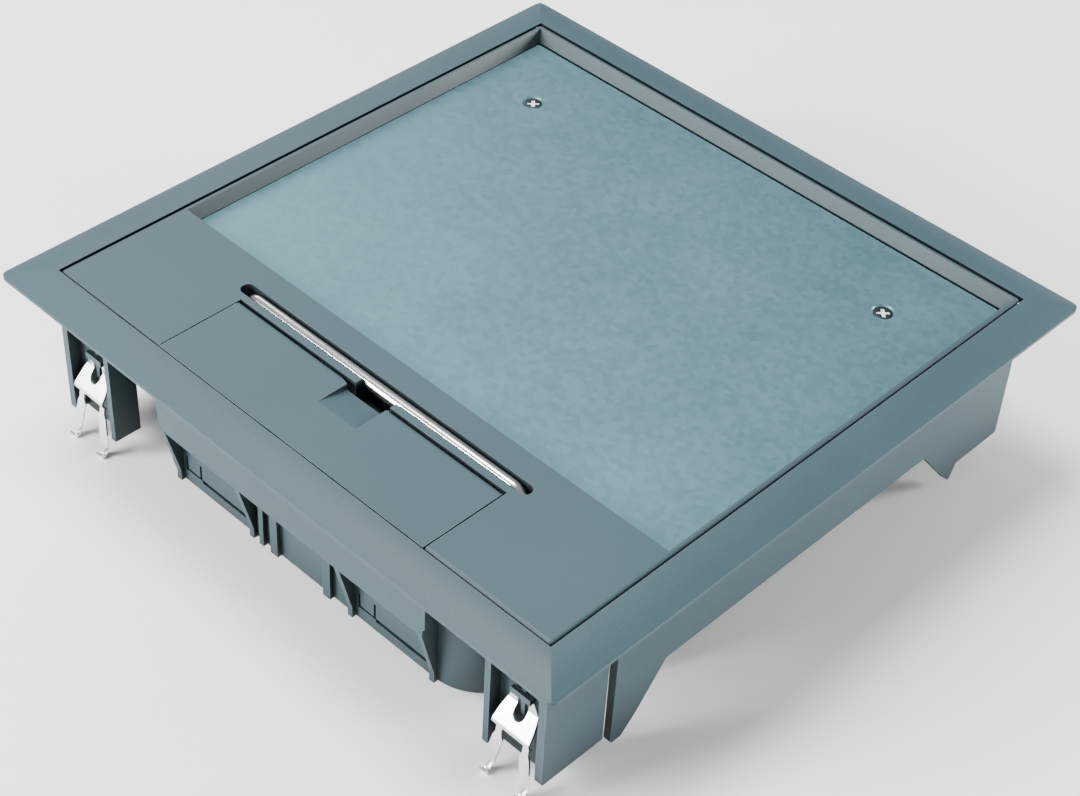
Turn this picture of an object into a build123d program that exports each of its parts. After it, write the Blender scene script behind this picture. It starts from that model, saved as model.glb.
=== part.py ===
# Square floor socket box: a moulded frame that drops into a cut-out in the floor and clamps there with
# four spring clips, a hinged lid with a recessed steel plate, a pull-up handle and a cord outlet flap,
# and three device cups with sockets and data outlets under the lid. Millimetres, +Z up, the front (the
# cord outlet side) towards -Y. The origin is on the centre line, level with the lowest clip ends.
import os
from math import asin, atan, degrees

from build123d import *

os.makedirs("parts", exist_ok=True)

# Frame and skirt
frame_side = 264.0
frame_corner_radius = 3.5
rim_height = 1.1
lid_rise = 3.8
flange_band = 14.4
flange_overlap = 1.0
flange_overhang = 13.5
wall = 3.0
collar_depth = 10.0
corner_depth = 58.8
side_skirt_depth = 42.0
front_leg_depth = 64.5
rear_leg_depth = 66.0
leg_sole = 5.0
leg_step = 6.0
leg_taper = 13.0
rear_leg_sole = 3.0
rear_leg_taper = 20.0
front_apron_depth = 34.0
front_apron_width = 132.0
corner_bevel = 4.0
flange_root = 1.5
relief_width = 0.6
relief_depth = 0.5

# Corner pockets and their spring clips
pocket_width = 20.5
pocket_plate = 2.4
pocket_plate_length = 11.0
pocket_depth = 5.0
pocket_ceiling = 1.8
pocket_web = 2.0
pocket_rib = 1.6
front_block_length = 27.5
rear_block_length = 24.0
groove_width = 4.0
groove_start = 20.0
clip_depth = 67.5
clip_sheet = 0.7
clip_width = 15.8
clip_reach = 1.3
clip_fold = 1.6
clip_bend_radius = 0.9
clip_shoulder = 44.0
clip_horn_top = 30.0
clip_horn_bulge = 0.8
clip_tip_width = 1.7
clip_bend = 36.0
clip_band_end = 46.8
clip_slot_radius = 2.4
clip_slot_end = 40.3
clip_leg_width = 4.2
clip_neck_width = 2.4
clip_toe_width = 2.6
clip_leg_splay = 1.8
clip_toe_start = 1.2
clip_toe_sole = 1.9
clip_toe_rise = 2.2
slot_rib_end = 39.0
stud_head = 8.4
stud_height = 2.4
stud_clearance = 0.1
horn_lap = 1.0

# Cord trough behind the front apron
trough_set_back = 9.5
trough_wall = 2.2
trough_side_gap = 12.2
trough_corner_radius = 20.0
trough_depth = 60.0
sill_clearance = 1.0
fin_depth = 60.0
fin_wall = 2.2
fin_reach = 4.0
fin_slant_end = 55.0
fin_places = (24.9, 63.8)
post_width = 3.6
post_place = 13.3
left_rib_place = 19.8
latch_window_width = 8.5
latch_window_height = 7.0
latch_slot_height = 1.8
latch_window_drop = 51.5
tongue_gap = 1.1

# Lid and steel plate
lid_gap = 0.4
lid_rear_gap = 0.6
lid_skin = 2.6
lid_depth = 7.5
lid_wall = 2.2
recess_set_back = 12.8
recess_margin = 2.2
recess_draft = 2.4
recess_depth = 4.9
plate_thickness = 3.0
plate_gap = 0.4
plate_rear_gap = 1.2
tray_floor = 1.6
rib_wall = 1.6
rib_columns = 6
rib_rows = 5
lid_corner = 1.2
plate_corner = 1.0
seal_height = 1.2
seal_width = 1.6
seal_clearance = 0.3
body_clearance = 0.6

# Hinge of the lid
hinge_drop = 1.7
hinge_pin_radius = 0.9
hinge_pin_length = 16.0
hinge_pin_reach = 5.2
pin_clearance = 0.05

# Plate screws
screw_spacing = 170.6
screw_rear_margin = 30.6
screw_shank_radius = 1.95
screw_head_radius = 3.95
screw_head_drop = 0.15
screw_length = 11.0
screw_cross = 1.1
screw_cross_depth = 1.7
insert_radius = 3.2
insert_clearance = 0.06
boss_radius = 6.0
boss_depth = 11.0
boss_sides = 12

# Handle
handle_radius = 2.3
handle_side_gap = 16.4
handle_set_back = 5.8
handle_drop = 0.3
handle_bend = 6.0
handle_leg = 38.0
handle_gap = 0.35
handle_boss_radius = 6.2
handle_boss_depth = 13.0
collar_radius = 4.2
collar_height = 2.0
collar_margin = 1.6

# Cord outlet flap
flap_side_gap = 3.1
flap_gap = 0.5
flap_length = 34.8
flap_thickness = 4.0
flap_skin = 1.6
flap_edge = 2.0
flap_pin_radius = 1.0
flap_pin_length = 8.0
flap_pin_reach = 3.2
flap_lip = 2.8
flap_undercut = 1.45
notch_wall = 4.2
notch_ledge = 1.5
grip_left = 6.0
grip_right = 10.5
grip_inset = 2.4
grip_slant = 7.0
scoop_length = 12.0
scoop_depth = 2.5
grip_hole_depth = 9.0
foam_side_margin = 5.3
foam_length = 11.5
foam_height = 8.0
foam_margin = 5.0
foam_slit = 1.0
foam_slit_pitch = 14.5

# Device cups, their covers and the modules in them
device_drop = 31.0
cup_side_margin = 11.5
cup_front_margin = 15.5
cup_gap = 1.5
cup_count = 3
cup_depth = 27.0
cup_wall = 1.8
cup_ear = 9.4
cup_rear_margin = 4.6
cup_entry_width = 16.0
cup_entry_depth = 11.0
cup_entry_place = 48.0
cup_corner = 3.0
cup_post_margin = 8.0
cup_post_radius = 4.0
cover_thickness = 2.0
shelf_width = 6.0
shelf_thickness = 3.0
sill_height = 14.0
module_margin = 3.2
module_gap = 0.25
module_count = 3
module_lip = 1.2
module_lip_height = 1.6
module_bevel = 0.6
blank_depth = 8.0
socket_depth = 25.0
socket_rim = 3.0
socket_recess_depth = 15.0
socket_pin_radius = 2.7
socket_pin_depth = 7.0
socket_pin_spacing = 19.0
key_depth = 2.2
key_width = 5.4
earth_margin = 1.6
earth_width = 5.0
earth_thickness = 0.8
earth_height = 13.0
data_depth = 22.0
data_port_width = 12.0
data_port_height = 9.0
data_port_depth = 10.0
data_port_spacing = 19.0
data_key_height = 2.0
cover_screw_radius = 2.7
cover_screw_head = 1.6
cover_screw_length = 9.0

# Heights and places that follow from the sizes above
floor_level = clip_depth
top_level = floor_level + lid_rise
skirt_side = frame_side - 2 * flange_overhang
skirt_half = skirt_side / 2
shoulder_side = skirt_side + 2 * flange_root
inner_half = skirt_half - wall
opening_half = frame_side / 2 - flange_band
lid_half = opening_half - lid_gap
rear_opening = opening_half + lid_rear_gap - lid_gap
seal_top = floor_level + seal_height
tray_half = inner_half - body_clearance
lid_bottom = floor_level - lid_depth
trough_half_width = inner_half - pocket_width - trough_side_gap
handle_x = trough_half_width - handle_side_gap
flap_width = 2 * (handle_x - flap_side_gap)
foam_width = flap_width - 2 * foam_side_margin
flap_front = -lid_half
flap_rear = flap_front + flap_length
handle_y = flap_rear + handle_set_back
recess_front = handle_y + recess_set_back
recess_half = lid_half - recess_margin
plate_top = top_level - recess_depth
plate_bottom = plate_top - plate_thickness
recess_bottom_half = recess_half - recess_draft
plate_half = recess_bottom_half - plate_gap
plate_front = recess_front + recess_draft + plate_gap
plate_rear = recess_bottom_half - plate_rear_gap
hinge_y = lid_half - hinge_drop
hinge_level = top_level - hinge_drop
screw_y = plate_rear - screw_rear_margin
screw_x = screw_spacing / 2
handle_level = top_level - handle_drop - handle_radius
flap_axis_y = flap_rear - flap_edge
flap_axis_level = top_level - flap_edge
notch_half = flap_width / 2 + flap_gap
notch_rear = flap_rear + flap_gap
flap_bottom = top_level - flap_thickness
trough_y = -skirt_half + trough_set_back
fin_front = trough_y - fin_reach
latch_level = floor_level - latch_window_drop
device_level = floor_level - device_drop
cup_top = device_level - cover_thickness
cup_length = 2 * (inner_half - cup_side_margin)
cup_rear = skirt_half - pocket_depth - pocket_web - cup_rear_margin
cup_front = handle_y + cup_front_margin
cup_width = (cup_rear - cup_front + cup_gap) / cup_count - cup_gap
cup_pitch = cup_width + cup_gap
cup_places = [cup_front + cup_width / 2 + row * cup_pitch for row in range(cup_count)]
cup_names = ("front", "middle", "rear")
module = cup_width - 2 * (cup_wall + module_margin)
socket_recess_radius = module / 2 - socket_rim
pocket_x = inner_half - pocket_width / 2
recess_angle = degrees(atan(recess_draft / recess_depth))


# Frame flange: a crowned ring with mitred corners that covers the edge of the cut-out. It lies on the
# collar of the floor frame and holds the ends of the hinge pins
crown_drop = lid_rise - rim_height
crown_radius = (flange_band**2 + crown_drop**2) / (2 * crown_drop)
band_half = frame_side / 2 + flange_overlap
with BuildPart() as flange_side:
    with BuildSketch(Plane.YZ.offset(-band_half)):
        with BuildLine():
            crown = CenterArc(
                (-opening_half, top_level - crown_radius),
                crown_radius,
                90,
                degrees(asin((band_half - opening_half) / crown_radius)),
            )
            Polyline(crown @ 1, (-band_half, floor_level), (-opening_half, floor_level), crown @ 0)
        make_face()
    extrude(amount=2 * band_half)
    with BuildSketch(Plane.XY.offset(floor_level)):
        with BuildLine():
            Polyline((-band_half, -band_half), (band_half, -band_half), (0, 0), close=True)
        make_face()
    extrude(amount=lid_rise, mode=Mode.INTERSECT)

with BuildPart() as frame_flange:
    with PolarLocations(0, 4):
        add(flange_side.part)
    with BuildSketch(Plane.XY.offset(floor_level)):
        RectangleRounded(frame_side, frame_side, frame_corner_radius)
    extrude(amount=lid_rise, mode=Mode.INTERSECT)
    # At the hinge the opening is a little longer, so that the lid can turn
    with BuildSketch(Plane.XY.offset(floor_level)):
        with Locations((0, rear_opening - wall / 2)):
            Rectangle(2 * opening_half, wall)
    extrude(amount=lid_rise, mode=Mode.SUBTRACT)
    # Relief groove round the shoulder of the frame, so that the flange lies flat on the floor
    with BuildSketch(Plane.XY.offset(floor_level)):
        RectangleRounded(shoulder_side + 2 * relief_width, shoulder_side + 2 * relief_width, corner_bevel)
        RectangleRounded(shoulder_side, shoulder_side, corner_bevel, mode=Mode.SUBTRACT)
    extrude(amount=relief_depth, mode=Mode.SUBTRACT)
    # Blind bores for the hinge pins
    pin_end = lid_half + hinge_pin_reach
    for side in (-1, 1):
        with BuildSketch(Plane.YZ.offset(side * (opening_half - lid_gap))):
            with Locations((hinge_y, hinge_level)):
                Circle(hinge_pin_radius + pin_clearance)
        extrude(amount=side * (pin_end - lid_half + 2 * lid_gap), mode=Mode.SUBTRACT)
frame_flange.part.label = "frame_flange"
export_step(frame_flange.part, "parts/frame_flange.step")


# Floor frame: the collar under the flange, the side walls with their legs, the corner pockets, the front
# apron and the cord trough
with BuildPart() as floor_frame:
    with BuildSketch(Plane.XY.offset(floor_level - collar_depth)):
        RectangleRounded(skirt_side, skirt_side, corner_bevel)
        Rectangle(2 * inner_half, 2 * inner_half, mode=Mode.SUBTRACT)
    extrude(amount=collar_depth)
    # Shoulder that carries the flange outside the collar
    with BuildSketch(Plane.XY.offset(floor_level)):
        RectangleRounded(shoulder_side, shoulder_side, corner_bevel)
        Rectangle(2 * opening_half, 2 * opening_half, mode=Mode.SUBTRACT)
    extrude(amount=-flange_root, taper=45)

    # Side walls: a deep block at each corner, a leg beside it and a shallow skirt between the legs
    front_block_end = -skirt_half + front_block_length
    leg_start = front_block_end + groove_width
    leg_taper_end = leg_start + leg_sole + leg_step + leg_taper
    rear_block_start = skirt_half - rear_block_length
    rear_leg_start = rear_block_start - rear_leg_sole
    with BuildSketch(Plane.YZ.offset(inner_half)) as side_outline:
        with BuildLine():
            Polyline(
                (-skirt_half, floor_level),
                (-skirt_half, floor_level - corner_depth),
                (leg_start, floor_level - corner_depth),
                (leg_start, floor_level - front_leg_depth),
                (leg_start + leg_sole, floor_level - front_leg_depth),
                (leg_start + leg_sole + leg_step, floor_level - front_leg_depth + leg_step),
                (leg_taper_end, floor_level - side_skirt_depth),
                (rear_leg_start - rear_leg_taper, floor_level - side_skirt_depth),
                (rear_leg_start, floor_level - rear_leg_depth),
                (rear_block_start, floor_level - corner_depth),
                (skirt_half, floor_level - corner_depth),
                (skirt_half, floor_level),
                close=True,
            )
        make_face()
        fillet(side_outline.vertices().group_by(Axis.Z)[0], radius=1.2)
        with Locations((front_block_end + groove_width / 2, floor_level - corner_depth)):
            Rectangle(groove_width, 2 * (corner_depth - groove_start), mode=Mode.SUBTRACT)
    extrude(amount=wall)
    mirror(about=Plane.YZ)

    # Rear wall between the rear pockets, and the plate and web of each pocket
    pocket_inner = inner_half - pocket_width
    with BuildSketch(Plane.XZ.offset(-skirt_half)):
        with Locations((0, floor_level - side_skirt_depth / 2)):
            Rectangle(2 * pocket_inner, side_skirt_depth)
    extrude(amount=wall)
    plate_x = pocket_inner - pocket_plate / 2
    plate_y = skirt_half - pocket_plate_length / 2
    ceiling_length = pocket_depth + pocket_web - wall / 2
    with BuildSketch(Plane.XY.offset(floor_level - corner_depth)):
        with GridLocations(2 * plate_x, 2 * plate_y, 2, 2):
            Rectangle(pocket_plate, pocket_plate_length)
        with GridLocations(2 * pocket_x, 2 * (skirt_half - pocket_depth - pocket_web / 2), 2, 2):
            Rectangle(pocket_width, pocket_web)
    extrude(amount=corner_depth - collar_depth)
    with BuildSketch(Plane.XY.offset(floor_level - collar_depth)):
        with GridLocations(2 * pocket_x, 2 * (skirt_half - wall / 2 - ceiling_length / 2), 2, 2):
            Rectangle(pocket_width + 2 * pocket_plate, ceiling_length)
    extrude(amount=pocket_ceiling)
    # A rib stands in the slot of each clip, and its wide head laps over the tips of the two horns
    web_face = skirt_half - pocket_depth
    head_y = web_face + clip_sheet + stud_clearance
    with BuildSketch(Plane.XY.offset(floor_level - slot_rib_end)):
        with GridLocations(2 * pocket_x, 2 * web_face, 2, 2):
            Rectangle(pocket_rib, 2 * (head_y - web_face))
    extrude(amount=slot_rib_end - collar_depth)
    with BuildSketch(Plane.XY.offset(floor_level - clip_horn_top - horn_lap)):
        with GridLocations(2 * pocket_x, 2 * web_face, 2, 2):
            Rectangle(pocket_rib, 2 * (head_y - web_face + pocket_rib))
        with GridLocations(2 * pocket_x, 2 * head_y + pocket_rib, 2, 2):
            Rectangle(stud_head, pocket_rib)
    extrude(amount=stud_height)

    # Front apron, with its lower corners bevelled where the outer fins start
    with BuildSketch(Plane.XZ.offset(inner_half)) as apron:
        with Locations((0, floor_level - front_apron_depth / 2)):
            Rectangle(front_apron_width, front_apron_depth)
        chamfer(apron.vertices().group_by(Axis.Z)[0], length=corner_bevel)
    extrude(amount=wall)

    # Trough wall with large rounded corners, carried by a shelf from the collar
    trough_end = cup_front - sill_clearance
    with BuildSketch(Plane.XY.offset(floor_level - trough_depth)):
        with BuildLine():
            FilletPolyline(
                (-trough_half_width, trough_end),
                (-trough_half_width, trough_y),
                (trough_half_width, trough_y),
                (trough_half_width, trough_end),
                radius=trough_corner_radius,
            )
            offset(amount=trough_wall, side=Side.RIGHT)
        make_face()
    extrude(amount=trough_depth - collar_depth)
    shelf_front = -inner_half - wall / 2
    shelf_rear = trough_y + trough_wall / 2
    with BuildSketch(Plane.XY.offset(floor_level - collar_depth)):
        with Locations((0, (shelf_front + shelf_rear) / 2)):
            Rectangle(2 * (trough_half_width - trough_corner_radius), shelf_rear - shelf_front)
    extrude(amount=-trough_wall)

    # Fins from the apron to the trough wall, their front edges slanting back, and the posts and the
    # narrow left rib that stand on the front of the wall
    for fin_x in fin_places:
        with BuildSketch(Plane.YZ.offset(fin_x - fin_wall / 2)):
            with BuildLine():
                Polyline(
                    (shelf_front, floor_level - collar_depth),
                    (-skirt_half, floor_level - front_apron_depth),
                    (fin_front, floor_level - fin_slant_end),
                    (fin_front, floor_level - fin_depth),
                    (shelf_rear, floor_level - fin_depth),
                    (shelf_rear, floor_level - collar_depth),
                    close=True,
                )
            make_face()
        fin = extrude(amount=fin_wall)
        mirror(fin, about=Plane.YZ)
    with BuildSketch(Plane.XY.offset(floor_level - fin_depth)):
        with Locations((0, (fin_front + shelf_rear) / 2)):
            with GridLocations(2 * post_place, 0, 2, 1):
                Rectangle(post_width, shelf_rear - fin_front)
            with Locations((-left_rib_place, 0)):
                Rectangle(fin_wall, shelf_rear - fin_front)
    extrude(amount=fin_depth - collar_depth)

    # Snap tongue and slot in the trough wall, at the left of each outer bay
    bay_width = fin_places[1] - fin_places[0] - fin_wall
    for bay_start in (-fin_places[1] + fin_wall / 2, fin_places[0] + fin_wall / 2):
        window_x = bay_start + tongue_gap + latch_window_width / 2
        slot_start = window_x + latch_window_width / 2
        slot_end = bay_start + bay_width - tongue_gap
        with BuildSketch(Plane.XZ.offset(-trough_y - 2 * trough_wall)):
            with Locations((window_x, latch_level)):
                Rectangle(latch_window_width, latch_window_height)
            with Locations((window_x, latch_level + tongue_gap)):
                tongue_width = latch_window_width - 2 * tongue_gap
                Rectangle(tongue_width, latch_window_height, mode=Mode.SUBTRACT)
            with Locations(((slot_start + slot_end) / 2, latch_level - latch_window_height / 2)):
                Rectangle(slot_end - slot_start, latch_slot_height)
        extrude(amount=3 * trough_wall, mode=Mode.SUBTRACT)

    # Sill in front of the cups and the shelves that the cups hang on
    with BuildSketch(Plane.XY.offset(floor_level - side_skirt_depth)):
        with Locations((0, trough_end - trough_wall / 2)):
            Rectangle(2 * inner_half, trough_wall)
    extrude(amount=sill_height)
    shelf_end = skirt_half - pocket_depth - pocket_web / 2
    shelf_length = shelf_end - trough_end
    with BuildSketch(Plane.XY.offset(cup_top - cup_wall - shelf_thickness)):
        with GridLocations(2 * inner_half - shelf_width, 0, 2, 1):
            with Locations((0, shelf_end - shelf_length / 2)):
                Rectangle(shelf_width, shelf_length)
    extrude(amount=shelf_thickness)
floor_frame.part.label = "floor_frame"
export_step(floor_frame.part, "parts/floor_frame.step")


# Lid seal: a rubber strip on the seat of the lid, left out along the hinge
with BuildPart() as lid_seal:
    seal_outer = opening_half - seal_clearance
    with BuildSketch(Plane.XY.offset(floor_level)):
        Rectangle(2 * seal_outer, 2 * seal_outer)
        Rectangle(2 * (seal_outer - seal_width), 2 * (seal_outer - seal_width), mode=Mode.SUBTRACT)
        with Locations((0, seal_outer)):
            Rectangle(2 * seal_outer, 2 * hinge_pin_reach, mode=Mode.SUBTRACT)
    extrude(amount=seal_height)
lid_seal.part.label = "lid_seal"
export_step(lid_seal.part, "parts/lid_seal.step")


# Spring clips: spring steel sheet, bent out to a shoulder that wedges in the cut-out, with a horn on each
# side of a round-ended slot and two legs with turned-up toes. One form, set in the four pockets.
with BuildPart() as clip_form:
    seat = -pocket_depth
    crest = clip_reach - clip_sheet
    toe = crest + clip_toe_start
    half = clip_width / 2
    with BuildSketch(Plane.YZ.offset(-half - clip_leg_splay)):
        with BuildLine():
            FilletPolyline(
                (seat, -clip_horn_top),
                (seat, -clip_bend),
                (crest, -clip_shoulder),
                (crest - clip_fold, -clip_band_end),
                (toe, -clip_depth),
                (toe + clip_toe_sole, -clip_depth),
                (toe + clip_toe_sole + clip_toe_rise / 2, clip_toe_rise - clip_depth),
                radius=clip_bend_radius,
            )
            offset(amount=clip_sheet, side=Side.LEFT)
        make_face()
    extrude(amount=clip_width + 2 * clip_leg_splay)
    # Its outline seen from the front
    with BuildSketch(Plane.XZ.offset(-clip_width)):
        with BuildLine():
            tip_level = -clip_horn_top - clip_tip_width / 2
            tip_outer = clip_slot_radius + clip_tip_width
            tip_middle = clip_slot_radius + clip_tip_width / 2
            slot_level = clip_slot_radius - clip_slot_end
            bulge = (half + tip_outer) / 2 + clip_horn_bulge
            Polyline((0, -clip_band_end), (-half, -clip_band_end), (-half, -clip_shoulder))
            ThreePointArc(
                (-half, -clip_shoulder), (-bulge, (tip_level - clip_shoulder) / 2), (-tip_outer, tip_level)
            )
            ThreePointArc(
                (-tip_outer, tip_level), (-tip_middle, -clip_horn_top), (-clip_slot_radius, tip_level)
            )
            Line((-clip_slot_radius, tip_level), (-clip_slot_radius, slot_level))
            ThreePointArc(
                (-clip_slot_radius, slot_level),
                (-clip_slot_radius * 0.707, slot_level - clip_slot_radius * 0.707),
                (0, -clip_slot_end),
            )
            Line((0, -clip_slot_end), (0, -clip_band_end))
        make_face()
        mirror(about=Plane.YZ)
        # Each leg: a narrow neck, a blade that leans outwards and a narrower toe
        neck = clip_neck_width / 2
        blade = clip_leg_width / 2
        toe_half = clip_toe_width / 2
        neck_top = clip_sheet - clip_band_end
        blade_top = -clip_band_end - 2 * clip_neck_width
        blade_end = -clip_depth + 2 * clip_toe_width
        leg_end = -clip_depth - clip_sheet
        for side in (-1, 1):
            lean = side * clip_leg_splay
            with Locations((side * (clip_width - clip_leg_width) / 2, 0)):
                Polygon(
                    (-neck, neck_top),
                    (-neck, blade_top + blade),
                    (-blade, blade_top),
                    (lean - blade, blade_end),
                    (lean - toe_half, blade_end - blade),
                    (lean - toe_half, leg_end),
                    (lean + toe_half, leg_end),
                    (lean + toe_half, blade_end - blade),
                    (lean + blade, blade_end),
                    (blade, blade_top),
                    (neck, blade_top + blade),
                    (neck, neck_top),
                    align=None,
                )
    extrude(amount=2 * clip_width, mode=Mode.INTERSECT)

for row_name, outward in (("front", -1), ("rear", 1)):
    for side_name, side in (("left", -1), ("right", 1)):
        pocket_plane = Plane(
            origin=(side * pocket_x, outward * skirt_half, floor_level),
            x_dir=(outward, 0, 0),
            z_dir=(0, 0, 1),
        )
        with BuildPart() as spring_clip:
            with Locations(pocket_plane):
                add(clip_form.part)
        spring_clip.part.label = f"spring_clip_{row_name}_{side_name}"
        export_step(spring_clip.part, f"parts/spring_clip_{row_name}_{side_name}.step")


# Lid tray: one moulding with the recess for the steel plate, the notch for the cord outlet flap, the
# slot and guides of the handle, and ribs below
with BuildPart() as lid_tray:
    with BuildSketch(Plane.XY.offset(seal_top)):
        RectangleRounded(2 * lid_half, 2 * lid_half, lid_corner)
    extrude(amount=top_level - seal_top)
    rear_top = lid_tray.edges().filter_by(Axis.X).group_by(Axis.Y)[-1].group_by(Axis.Z)[-1]
    fillet(rear_top, radius=hinge_drop)
    with BuildSketch(Plane.XY.offset(lid_bottom)):
        Rectangle(2 * tray_half, 2 * tray_half)
    extrude(amount=seal_top - lid_bottom)
    # Recess with drafted walls, and the seat of the steel plate
    recess_length = recess_half - recess_front
    with BuildSketch(Plane.XY.offset(top_level)):
        with Locations((0, (recess_half + recess_front) / 2)):
            Rectangle(2 * recess_half, recess_length)
    extrude(amount=-recess_depth, taper=recess_angle, mode=Mode.SUBTRACT)
    seat_front = recess_front + recess_draft
    seat_length = recess_bottom_half - seat_front
    seat_y = (recess_bottom_half + seat_front) / 2
    with BuildSketch(Plane.XY.offset(plate_top)):
        with Locations((0, seat_y)):
            Rectangle(2 * recess_bottom_half, seat_length)
    extrude(amount=-plate_thickness, mode=Mode.SUBTRACT)
    # Ribs under the plate seat
    rib_field_width = 2 * recess_bottom_half
    cell_width = rib_field_width / rib_columns
    cell_length = seat_length / rib_rows
    with BuildSketch(Plane.XY.offset(lid_bottom)):
        with Locations((0, seat_y)):
            with GridLocations(cell_width, cell_length, rib_columns, rib_rows):
                Rectangle(cell_width - rib_wall, cell_length - rib_wall)
    extrude(amount=plate_bottom - tray_floor - lid_bottom, mode=Mode.SUBTRACT)
    # Hollows under the front strip, two on each side of the notch and a row behind the handle
    hollow_inner = notch_half + notch_wall
    hollow_outer = tray_half - lid_wall
    hollow_front = -tray_half + lid_wall
    hollow_rear = recess_front - lid_wall
    hollow_length = (hollow_rear - hollow_front - rib_wall) / 2
    with BuildSketch(Plane.XY.offset(lid_bottom)):
        with Locations((0, (hollow_front + hollow_rear) / 2)):
            with GridLocations(hollow_inner + hollow_outer, hollow_length + rib_wall, 2, 2):
                Rectangle(hollow_outer - hollow_inner, hollow_length)
        back_hollow = hollow_rear - handle_y - handle_radius - handle_gap - lid_wall
        with Locations((0, hollow_rear - back_hollow / 2)):
            with GridLocations(hollow_inner / 2, 0, 4, 1):
                Rectangle(hollow_inner / 2 - rib_wall, back_hollow)
    extrude(amount=top_level - lid_skin - lid_bottom, mode=Mode.SUBTRACT)
    # Bosses for the inserts of the plate screws and for the legs of the handle
    with BuildSketch(Plane.XY.offset(floor_level - boss_depth)):
        with Locations((-screw_x, screw_y), (screw_x, screw_y)):
            RegularPolygon(boss_radius, boss_sides)
    extrude(amount=plate_bottom - floor_level + boss_depth)
    with BuildSketch(Plane.XY.offset(floor_level - handle_boss_depth)):
        with Locations((-handle_x, handle_y), (handle_x, handle_y)):
            RegularPolygon(handle_boss_radius, boss_sides)
    extrude(amount=handle_boss_depth + lid_rise - lid_skin)
    with BuildSketch(Plane.XY.offset(floor_level - boss_depth)):
        with Locations((-screw_x, screw_y), (screw_x, screw_y)):
            RegularPolygon(insert_radius, 6)
    extrude(amount=plate_bottom - floor_level + boss_depth, mode=Mode.SUBTRACT)
    # Notch for the flap, open at the front edge, with a ledge on each side for the flap to lie on
    notch_length = notch_rear + lid_half
    with BuildSketch(Plane.XY.offset(top_level)):
        with Locations((0, notch_rear - notch_length)):
            Rectangle(2 * notch_half, 2 * notch_length)
    extrude(amount=-flap_thickness, mode=Mode.SUBTRACT)
    with BuildSketch(Plane.XY.offset(flap_bottom)):
        with Locations((0, notch_rear - notch_length)):
            Rectangle(2 * (notch_half - notch_ledge), 2 * notch_length)
    extrude(amount=lid_bottom - flap_bottom, mode=Mode.SUBTRACT)
    # Slot for the bar, deeper at its ends where the bar bends down, and a hole for each leg
    slot_width = 2 * (handle_radius + handle_gap)
    slot_half = handle_x + handle_radius + handle_gap
    with BuildSketch(Plane.XY.offset(top_level)):
        with Locations((0, handle_y)):
            SlotOverall(2 * slot_half, slot_width)
    extrude(amount=-handle_drop - slot_width, mode=Mode.SUBTRACT)
    bend_length = handle_bend + handle_radius + 2 * handle_gap
    with BuildSketch(Plane.XY.offset(top_level)):
        with GridLocations(2 * slot_half - bend_length, 0, 2, 1):
            with Locations((0, handle_y)):
                SlotOverall(bend_length, slot_width)
    extrude(amount=handle_level - handle_bend - top_level, mode=Mode.SUBTRACT)
    with BuildSketch(Plane.XY.offset(top_level)):
        with Locations((-handle_x, handle_y), (handle_x, handle_y)):
            Circle(handle_radius + pin_clearance)
    extrude(amount=floor_level - handle_boss_depth - top_level, mode=Mode.SUBTRACT)
    # Finger hole under the middle of the bar, open to the notch
    grip_width = grip_left + grip_right
    grip_rear = handle_y + handle_radius + handle_gap
    with BuildSketch(Plane.XY.offset(top_level)):
        with Locations(((grip_right - grip_left) / 2, (notch_rear - 1 + grip_rear) / 2)):
            Rectangle(grip_width, grip_rear - notch_rear + 1)
    extrude(amount=-grip_hole_depth, mode=Mode.SUBTRACT)
    # Bores for the hinge pins and for the pins of the flap
    pin_start = pin_end - hinge_pin_length
    for side in (-1, 1):
        with BuildSketch(Plane.YZ.offset(side * pin_start)):
            with Locations((hinge_y, hinge_level)):
                Circle(hinge_pin_radius)
        extrude(amount=side * hinge_pin_length, mode=Mode.SUBTRACT)
        with BuildSketch(Plane.YZ.offset(side * flap_width / 2)):
            with Locations((flap_axis_y, flap_axis_level)):
                Circle(flap_pin_radius + pin_clearance)
        extrude(amount=side * (flap_pin_reach + 2 * flap_gap), mode=Mode.SUBTRACT)
lid_tray.part.label = "lid_tray"
export_step(lid_tray.part, "parts/lid_tray.step")


# Hinge pins: two short steel pins pressed into the rear corners of the lid
with BuildPart() as hinge_pins:
    for side in (-1, 1):
        with BuildSketch(Plane.YZ.offset(side * pin_start)):
            with Locations((hinge_y, hinge_level)):
                Circle(hinge_pin_radius)
        extrude(amount=side * hinge_pin_length)
hinge_pins.part.label = "hinge_pins"
export_step(hinge_pins.part, "parts/hinge_pins.step")


# Steel plate in the recess, with two countersunk holes near its rear edge
with BuildPart() as steel_plate:
    with BuildSketch(Plane.XY.offset(plate_bottom)):
        with Locations((0, (plate_front + plate_rear) / 2)):
            RectangleRounded(2 * plate_half, plate_rear - plate_front, plate_corner)
    extrude(amount=plate_thickness)
    with Locations((-screw_x, screw_y, plate_top), (screw_x, screw_y, plate_top)):
        CounterSinkHole(
            screw_shank_radius + insert_clearance,
            screw_head_radius + screw_head_drop + insert_clearance,
            depth=plate_thickness,
            counter_sink_angle=90,
        )
steel_plate.part.label = "steel_plate"
export_step(steel_plate.part, "parts/steel_plate.step")


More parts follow.
